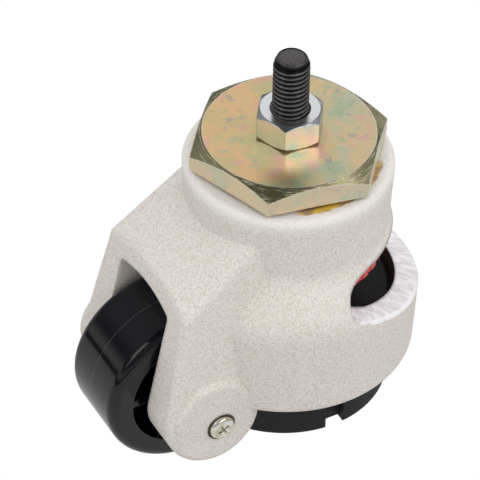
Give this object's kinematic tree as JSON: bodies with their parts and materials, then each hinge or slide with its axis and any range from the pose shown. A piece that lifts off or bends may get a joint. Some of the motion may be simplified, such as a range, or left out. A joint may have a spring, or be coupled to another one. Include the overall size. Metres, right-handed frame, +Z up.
{
  "type": "levelling castor",
  "caption": "Levelling castor: 50 mm nylon wheel in a die-cast swivel fork with a black foot pad that a red thumb wheel winds down, under a threaded M10 stem.",
  "frame": {"origin": "on the swivel axis, in the top face of the hexagonal plate", "axes": "+Z up the threaded stem, the castor wheel trails towards -Y, the axle along X"},
  "size_m": [0.0758, 0.0988, 0.1207],
  "materials": {
    "housing_coat": "satin, fine hammered powder coat",
    "yellow_zinc": "yellow zinc plate",
    "bright_zinc": "bright zinc plate",
    "black_oxide": "black oxide, oiled",
    "bearing_steel": "ground",
    "black_nylon": "moulded, glossy",
    "black_rubber": "moulded, dull",
    "red_plastic": "moulded, satin",
    "screw_zinc": "nickel yellow"
  },
  "bodies": {
    "mount": {"hex_plate": "yellow_zinc", "stem": "black_oxide", "lock_nut": "bright_zinc", "lower_cone": "bearing_steel", "king_nut": "black_oxide"},
    "fork": {"housing": "housing_coat", "upper_cup": "bearing_steel", "lower_cup": "bearing_steel", "axle": "bearing_steel", "axle_screw": "screw_zinc"},
    "upper_row": {"upper_balls": "bearing_steel"},
    "lower_row": {"lower_balls": "bearing_steel"},
    "roller": {"wheel": "black_nylon", "bush": "bearing_steel"},
    "adjuster": {"thumb_wheel": "red_plastic", "spring_ring": "bearing_steel"},
    "foot": {"spindle": "bearing_steel", "pad_carrier": "black_nylon", "foot_pad": "black_rubber"}
  },
  "joints": [
    {"name": "swivel", "type": "hinge", "parent": "mount", "child": "fork", "pos_m": [0, 0, -0.015], "axis": [0, 0, 1], "continuous": true},
    {"name": "upper_row_roll", "type": "hinge", "parent": "mount", "child": "upper_row", "pos_m": [0, 0, -0.009], "axis": [0, 0, 1], "continuous": true},
    {"name": "lower_row_roll", "type": "hinge", "parent": "mount", "child": "lower_row", "pos_m": [0, 0, -0.0183], "axis": [0, 0, 1], "continuous": true},
    {"name": "wheel_spin", "type": "hinge", "parent": "fork", "child": "roller", "pos_m": [0, -0.0362, -0.0703], "axis": [1, 0, 0], "continuous": true},
    {"name": "thumb_turn", "type": "hinge", "parent": "fork", "child": "adjuster", "pos_m": [0, 0, -0.0354], "axis": [0, 0, 1], "range_deg": [0, 2160]},
    {"name": "pad_slide", "type": "slide", "parent": "fork", "child": "foot", "axis": [0, 0, -1], "range_m": [0, 0.012]}
  ],
  "couplings": [
    {"joint": "upper_row_roll", "follows": "swivel", "ratio": 0.5},
    {"joint": "lower_row_roll", "follows": "swivel", "ratio": 0.5},
    {"joint": "thumb_turn", "follows": "pad_slide", "rad_per_m": 3141.6}
  ]
}
